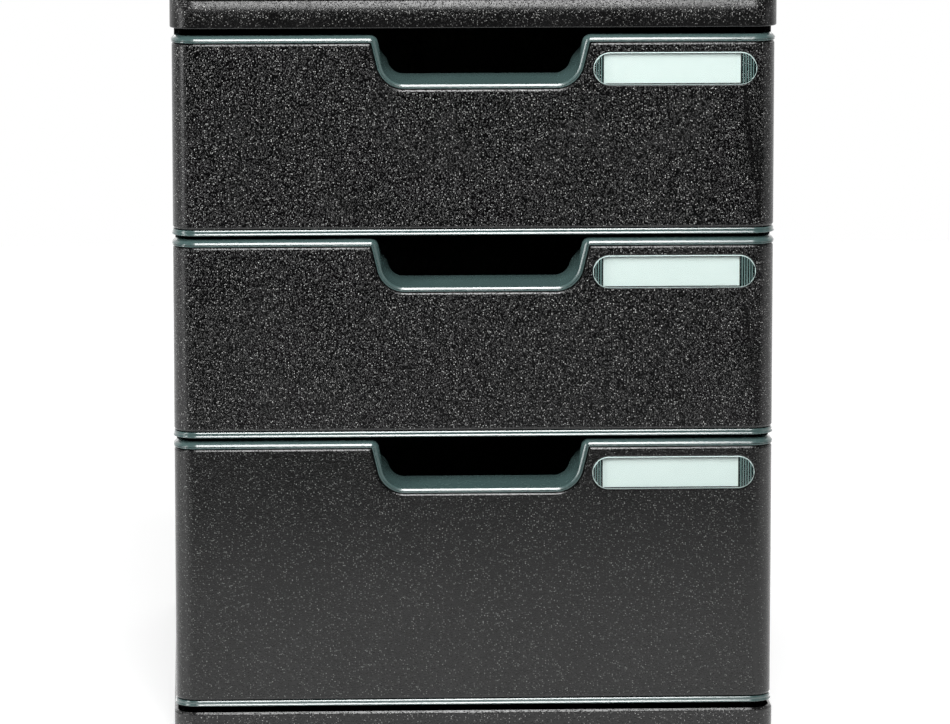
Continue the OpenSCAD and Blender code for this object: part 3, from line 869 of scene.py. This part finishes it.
class Shader:
    """A material's nodes, with short calls to add and join them. Lengths are in metres here."""

    def __init__(self, name):
        self.material = bpy.data.materials.new(name)
        self.material.use_nodes = True
        self.nodes = self.material.node_tree.nodes
        self.links = self.material.node_tree.links
        self.main = self.nodes["Principled BSDF"]
        self.coords = self.nodes.new("ShaderNodeTexCoord").outputs["Object"]

    def join(self, source, target):
        self.links.new(source, target)

    def add(self, kind, settings=None, **inputs):
        """A node with its settings, and its inputs given as values or as sockets."""
        node = self.nodes.new("ShaderNode" + kind)
        for key, value in (settings or {}).items():
            setattr(node, key, value)
        for key, value in inputs.items():
            feed(self.links, node.inputs[key.replace("_", " ")], value)
        return node

    def set(self, **inputs):
        """Inputs of the main shader, given as values or as sockets."""
        for key, value in inputs.items():
            feed(self.links, self.main.inputs[key.replace("_", " ")], value)

    def noise(self, size, detail=2.0, distortion=0.0):
        """Noise whose blobs are about size across."""
        settings = {"Scale": 1 / size, "Detail": detail, "Distortion": distortion}
        return self.add("TexNoise", Vector=self.coords, **settings)

    def cells(self, size, warp):
        """Cells of about size across, with their coordinates pushed about by up to warp times size."""
        push = self.noise(size, 1.0)
        centred = self.add("VectorMath", {"operation": "SUBTRACT"})
        self.join(push.outputs["Color"], centred.inputs[0])
        centred.inputs[1].default_value = (0.5, 0.5, 0.5)
        scaled = self.add("VectorMath", {"operation": "SCALE"}, Scale=warp * size)
        self.join(centred.outputs[0], scaled.inputs[0])
        moved = self.add("VectorMath", {"operation": "ADD"})
        self.join(self.coords, moved.inputs[0])
        self.join(scaled.outputs[0], moved.inputs[1])
        return self.add("TexVoronoi", Vector=moved.outputs[0], Scale=1 / size)

    def remap(self, source, a0, a1, b0, b1):
        """A value moved from the range a0 to a1 into the range b0 to b1."""
        node = self.add("MapRange", Value=source, From_Min=a0, From_Max=a1, To_Min=b0, To_Max=b1)
        return node.outputs["Result"]

    def math(self, operation, a, b):
        """A sum, product or power of two inputs, each given as a value or as a socket."""
        node = self.add("Math", {"operation": operation})
        for socket, value in zip(node.inputs, (a, b)):
            feed(self.links, socket, value)
        return node.outputs[0]

    def blend(self, factor, first, second):
        """A mix of two colours, each given as three numbers or as a socket."""
        node = self.add("Mix", {"data_type": "RGBA"})
        factor_in, first_in, second_in = (k for k in node.inputs if k.enabled)
        self.join(factor, factor_in)
        for socket, value in ((first_in, first), (second_in, second)):
            feed(self.links, socket, (*value, 1) if isinstance(value, tuple) else value)
        return next(k for k in node.outputs if k.enabled)

    def edge(self):
        """1 on rounded edges and 0 elsewhere, as the mesh code marks them."""
        return self.add("Attribute", {"attribute_name": "edge"}).outputs["Fac"]

    def bump(self, height, distance, strength=1.0):
        """A normal from heights between 0 and 1 that stand for distance."""
        return self.add("Bump", Height=height, Distance=distance, Strength=strength).outputs["Normal"]


# Radius of a pimple of the grain, as a share of its cell
PIMPLE_R = 0.46


def leather(name, dark, light, wear_and_glint, few, cell, depth, rough):
    """Black moulded plastic with a pebbled grain: low round pimples close together on a flat ground.

    The tops of the pimples are painted pale, each by its own random amount, as painted glints, and the
    higher few is, the fewer are painted much.
    Rounded edges are smoother, as if polished by use."""
    sh = Shader(name)
    pebbles = sh.cells(cell, 0.3)
    pores = sh.noise(cell * 0.45, 2.0)
    patches = sh.noise(0.03, 3.0)
    reach = sh.remap(pebbles.outputs["Distance"], 0.0, PIMPLE_R, 0.0, 1.0)
    dome = sh.math("SUBTRACT", 1.0, sh.math("POWER", reach, 2.0))
    height = sh.math("ADD", dome, sh.math("MULTIPLY", pores.outputs["Fac"], 0.1))
    edge = sh.edge()
    sh.set(Normal=sh.bump(height, depth, sh.remap(edge, 0.0, 1.0, 1.0, 0.15)))
    mix = sh.math("MULTIPLY", dome, sh.remap(patches.outputs["Fac"], 0.3, 0.7, 0.6, 0.9))
    plain = sh.blend(sh.math("ADD", mix, sh.math("MULTIPLY", edge, 0.5)), dark, light)
    # Painted glints: a random share of the pimple tops is painted pale, less on rounded edges
    chance = sh.add("SeparateColor", Color=pebbles.outputs["Color"]).outputs["Red"]
    painted_glint_mask = sh.math("MULTIPLY", sh.math("POWER", chance, few), dome)
    painted_glint_mask = sh.math("MULTIPLY", painted_glint_mask, sh.remap(edge, 0.0, 1.0, 1.0, 0.3))
    sh.set(Base_Color=sh.blend(painted_glint_mask, plain, wear_and_glint))
    uneven = sh.remap(patches.outputs["Fac"], 0.3, 0.7, rough - 0.03, rough + 0.03)
    ground = sh.remap(dome, 0.0, 1.0, 0.1, 0.0)
    sh.set(Roughness=sh.math("ADD", uneven, ground))
    return sh.material


def smooth_plastic(name, dark, light, rough, coat=0.0):
    """Moulded plastic with faint flow marks, fine scuffs and a little unevenness."""
    sh = Shader(name)
    patches = sh.noise(0.03, 3.0)
    flow = sh.noise(0.008, 2.0)
    scuffs = sh.noise(0.00625, 4.0, 2.5)
    patchy = sh.math("MULTIPLY", patches.outputs["Fac"], 0.6)
    sh.set(Base_Color=sh.blend(sh.math("ADD", patchy, sh.math("MULTIPLY", sh.edge(), 0.25)), dark, light))
    wear_and_glint = sh.remap(scuffs.outputs["Fac"], 0.5, 0.8, 0.0, 0.14)
    uneven = sh.remap(patches.outputs["Fac"], 0.3, 0.7, rough - 0.02, rough + 0.03)
    sh.set(Roughness=sh.math("ADD", wear_and_glint, uneven))
    sh.set(Normal=sh.bump(flow.outputs["Fac"], 0.0001, 0.25))
    if coat:
        sh.set(Coat_Weight=coat, Coat_Roughness=0.1)
    return sh.material


def clear_plastic(name):
    """Clear acrylic with a faint green tint, deeper over the ribs.

    It is plain transparent for shadow and diffuse rays, so that the card is lit once and not twice."""
    sh = Shader(name)
    haze = sh.noise(0.004, 3.0)
    ribs = sh.add("Attribute", {"attribute_name": "ribs"}).outputs["Fac"]
    clear = sh.blend(haze.outputs["Fac"], (0.965, 0.985, 0.98), (0.985, 0.995, 0.99))
    tinted = sh.blend(ribs, clear, (0.30, 0.52, 0.50))
    sh.set(Base_Color=tinted)
    sh.set(Roughness=sh.remap(haze.outputs["Fac"], 0.4, 0.8, 0.02, 0.06))
    sh.set(IOR=1.49, Transmission_Weight=1.0)
    passed = sh.add("BsdfTransparent", Color=tinted)
    path = sh.add("LightPath")
    surface = sh.main.outputs[0]
    for ray in ("Is Shadow Ray", "Is Diffuse Ray"):
        mix = sh.add("MixShader", Fac=path.outputs[ray])
        sh.join(surface, mix.inputs[1])
        sh.join(passed.outputs[0], mix.inputs[2])
        surface = mix.outputs[0]
    sh.join(surface, sh.nodes["Material Output"].inputs["Surface"])
    return sh.material


def card_stock(name):
    """Pale card with fibres and a slightly uneven surface."""
    sh = Shader(name)
    fibres = sh.noise(0.0006, 4.0, 1.5)
    patches = sh.noise(0.02, 2.0)
    fine = sh.math("MULTIPLY", fibres.outputs["Fac"], 0.4)
    coarse = sh.math("MULTIPLY", patches.outputs["Fac"], 0.5)
    sh.set(Base_Color=sh.blend(sh.math("ADD", fine, coarse), (0.74, 0.86, 0.83), (0.84, 0.94, 0.91)))
    sh.set(Roughness=sh.remap(fibres.outputs["Fac"], 0.3, 0.7, 0.55, 0.7))
    sh.set(Normal=sh.bump(fibres.outputs["Fac"], 0.00003, 0.5))
    return sh.material


def rubber(name):
    """Matt black rubber with a little dust."""
    sh = Shader(name)
    grit = sh.noise(0.0006, 3.0)
    dust = sh.noise(0.004, 3.0)
    sh.set(Base_Color=sh.blend(dust.outputs["Fac"], (0.012, 0.012, 0.012), (0.035, 0.034, 0.033)))
    sh.set(Roughness=sh.remap(grit.outputs["Fac"], 0.3, 0.7, 0.7, 0.9))
    sh.set(Normal=sh.bump(grit.outputs["Fac"], 0.00005))
    return sh.material


def plated_steel(name):
    """Zinc-plated steel with streaks."""
    sh = Shader(name)
    streaks = sh.noise(0.0012, 4.0, 1.0)
    sh.set(Base_Color=sh.blend(streaks.outputs["Fac"], (0.45, 0.45, 0.46), (0.68, 0.68, 0.70)))
    sh.set(Metallic=1.0)
    sh.set(Roughness=sh.remap(streaks.outputs["Fac"], 0.3, 0.7, 0.25, 0.45))
    sh.set(Normal=sh.bump(streaks.outputs["Fac"], 0.00002))
    return sh.material


DEEP_BLACK = (0.0006, 0.0006, 0.0007)
SOFT_BLACK = (0.0045, 0.0045, 0.0046)
# The third colour of each grained black is the pale tone of its painted glints on pimple tops, fainter on
# the lower fascia and the side panels
GRAIN = leather("grained_black", DEEP_BLACK, SOFT_BLACK, (0.72, 0.72, 0.70), few=6.6,
                cell=0.00070, depth=0.00013, rough=0.16)
COVER_GRAIN = leather("cover_black", DEEP_BLACK, SOFT_BLACK, (0.65, 0.65, 0.63), few=5.0,
                      cell=0.00070, depth=0.00008, rough=0.22)
FINE_GRAIN = leather("fine_grained_black", (0.0004, 0.0005, 0.0004), (0.0035, 0.0037, 0.0035),
                     (0.30, 0.315, 0.30), few=5.4, cell=0.00070, depth=0.00007, rough=0.14)
PANEL_GRAIN = leather("panel_black", (0.002, 0.002, 0.0021), (0.0080, 0.0080, 0.0079),
                      (0.20, 0.20, 0.20), few=5.0, cell=0.0012, depth=0.00012, rough=0.28)
SLATE = smooth_plastic("slate_green", (0.056, 0.100, 0.098), (0.082, 0.132, 0.127), 0.24, coat=0.75)
RAIL = smooth_plastic("rail_black", (0.012, 0.012, 0.012), (0.028, 0.028, 0.028), 0.40)
CLEAR = clear_plastic("clear_acrylic")
# Opaque, paler plastic on the window's rounded edge and on its rib crests: painted highlights
BEVEL = smooth_plastic("painted_outline_highlight", (0.46, 0.60, 0.58), (0.62, 0.74, 0.72), 0.25)
RIBBED = smooth_plastic("painted_rib_highlights", (0.10, 0.18, 0.17), (0.17, 0.27, 0.255), 0.25)
CARD = card_stock("mint_card")
RUBBER = rubber("black_rubber")
STEEL = plated_steel("plated_steel")

# ---------------------------------------------------------------- the pieces

for key in DRAWERS:
    make_tray(key, SLATE)
    make_fascia(key, FINE_GRAIN if key == "lower" else GRAIN)
    make_label(key, CLEAR, BEVEL, RIBBED, CARD)
make_cover(COVER_GRAIN)
make_base(GRAIN)
for name in FEET:
    make_foot(name, RUBBER)


WELD = 1e-6
BEVEL_ANGLE = 40.0


def soften_node(name, material, width):
    """Rounds the edges of a CAD node that stays, and gives it its material."""
    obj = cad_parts[name]
    obj.data.materials.clear()
    obj.data.materials.append(material)
    weld = obj.modifiers.new("weld", "WELD")
    weld.merge_threshold = WELD
    bevel = obj.modifiers.new("edges", "BEVEL")
    bevel.width = width * MM
    bevel.segments = 3
    bevel.limit_method = "ANGLE"
    bevel.angle_limit = math.radians(BEVEL_ANGLE)
    bevel.harden_normals = False
    weighted = obj.modifiers.new("flat_faces", "WEIGHTED_NORMAL")
    weighted.keep_sharp = True


for name in ("left_side_panel", "right_side_panel", "back_panel"):
    soften_node(name, PANEL_GRAIN, 0.3)
for name in ("upper_cross_rail", "lower_cross_rail"):
    soften_node(name, RAIL, 0.4)
soften_node("base_screws", STEEL, 0.15)

# ---------------------------------------------------------------- floor, light and camera

# What the floor adds of its own for the camera and in reflections, where its lit colour isn't yet white
FLOOR_LIFT = 0.72
GLOSSY_LIFT = 1.0
FLOOR_SIDE = 2.2
FLOOR_FRONT = -0.70
FLOOR_BACK = 1.6

# Light of the room itself, and what reflections show of it in front of the object
ROOM = 0.09
DARK_ROOM = 0.01

# Middle of the object, which the lamps face, and the camera. PIXEL_MM is the photo's scale at the fronts
CENTRE = (0.0, 0.0, 0.18)
PHOTO_W = 950
PIXEL_MM = 0.478
CAMERA_AZIMUTH = math.radians(-2.5)
CAMERA_ELEVATION = math.radians(8.8)
CAMERA_DISTANCE = 3.0
CAMERA_TARGET = Vector((0.0002, FRONT_Y * MM, 0.1839))


def floor_material():
    """A pale table top, with the camera's view of it lifted to white where nothing shades it."""
    sh = Shader("white_table")
    specks = sh.noise(0.01, 2.0)
    sh.set(Base_Color=sh.blend(specks.outputs["Fac"], (0.48, 0.48, 0.48), (0.52, 0.52, 0.52)))
    sh.set(Roughness=0.7, Specular_IOR_Level=0.2)
    path = sh.add("LightPath")
    seen = sh.math("MAXIMUM", path.outputs["Is Camera Ray"], path.outputs["Is Transmission Ray"])
    lift = sh.math("MULTIPLY", seen, FLOOR_LIFT)
    mirrored = sh.math("MULTIPLY", path.outputs["Is Glossy Ray"], GLOSSY_LIFT)
    sh.set(Emission_Color=(1, 1, 1, 1), Emission_Strength=sh.math("ADD", lift, mirrored))
    return sh.material


def make_floor():
    """The table top. It ends not far in front of the object, so that the fronts mirror the dark room."""
    mesh = bpy.data.meshes.new("floor")
    corners = [(-FLOOR_SIDE, FLOOR_FRONT, 0), (FLOOR_SIDE, FLOOR_FRONT, 0)]
    corners += [(FLOOR_SIDE, FLOOR_BACK, 0), (-FLOOR_SIDE, FLOOR_BACK, 0)]
    mesh.from_pydata(corners, [], [(0, 1, 2, 3)])
    mesh.materials.append(floor_material())
    floor = bpy.data.objects.new("floor", mesh)
    scene.collection.objects.link(floor)


def make_world():
    """White where the camera sees it. Reflections show white behind the object and a dark room in front."""
    world = bpy.data.worlds.new("studio")
    world.use_nodes = True
    nodes = world.node_tree.nodes
    links = world.node_tree.links

    def calculate(operation, *values):
        node = nodes.new("ShaderNodeMath")
        node.operation = operation
        for socket, value in zip(node.inputs, values):
            feed(links, socket, value)
        return node.outputs[0]

    path = nodes.new("ShaderNodeLightPath")
    where = nodes.new("ShaderNodeSeparateXYZ")
    links.new(nodes.new("ShaderNodeTexCoord").outputs["Generated"], where.inputs[0])
    behind = nodes.new("ShaderNodeMapRange")
    links.new(where.outputs["Y"], behind.inputs["Value"])
    for key, value in (("From Min", 0.1), ("From Max", 0.5), ("To Min", DARK_ROOM), ("To Max", 1.0)):
        behind.inputs[key].default_value = value
    glossy = path.outputs["Is Glossy Ray"]
    mirrored = calculate("MULTIPLY", glossy, behind.outputs["Result"])
    room = calculate("MULTIPLY", calculate("SUBTRACT", 1.0, glossy), ROOM)
    seen = calculate("MAXIMUM", path.outputs["Is Camera Ray"], path.outputs["Is Transmission Ray"])
    background = nodes["Background"]
    background.inputs["Color"].default_value = (1, 1, 1, 1)
    links.new(calculate("MAXIMUM", seen, calculate("ADD", mirrored, room)), background.inputs["Strength"])
    scene.world = world


def softbox(name, place, target, size, watts):
    """A rectangular lamp at place that faces target."""
    data = bpy.data.lights.new(name, "AREA")
    data.shape = "RECTANGLE"
    data.size, data.size_y = size
    data.energy = watts
    lamp = bpy.data.objects.new(name, data)
    scene.collection.objects.link(lamp)
    lamp.location = place
    lamp.rotation_mode = "QUATERNION"
    lamp.rotation_quaternion = (Vector(target) - Vector(place)).to_track_quat("-Z", "Y")


def make_camera():
    """A long lens a little above and to the left of the fronts, framed as the photograph is."""
    frame_w = PHOTO_W * PIXEL_MM * MM
    level = math.cos(CAMERA_ELEVATION)
    back = Vector((math.sin(CAMERA_AZIMUTH) * level, -math.cos(CAMERA_AZIMUTH) * level,
                   math.sin(CAMERA_ELEVATION)))
    data = bpy.data.cameras.new("camera")
    data.sensor_width = 36.0
    data.lens = data.sensor_width * CAMERA_DISTANCE / frame_w
    data.clip_start = 0.05
    data.clip_end = 50.0
    camera = bpy.data.objects.new("camera", data)
    scene.collection.objects.link(camera)
    camera.location = CAMERA_TARGET + back * CAMERA_DISTANCE
    camera.rotation_mode = "QUATERNION"
    camera.rotation_quaternion = (-back).to_track_quat("-Z", "Y")
    scene.camera = camera


make_floor()
make_world()
softbox("key_light", (0.05, -1.10, 1.38), CENTRE, (0.40, 1.0), 24)
softbox("left_light", (-1.7, -0.9, 0.9), (0.0, 0.0, 0.5), (0.40, 1.8), 18)
softbox("right_light", (1.8, -0.7, 0.8), CENTRE, (0.9, 1.4), 2.5)
softbox("back_light", (0.0, 1.9, 1.2), CENTRE, (1.8, 0.8), 10)
make_camera()
scene.view_settings.view_transform = "Standard"
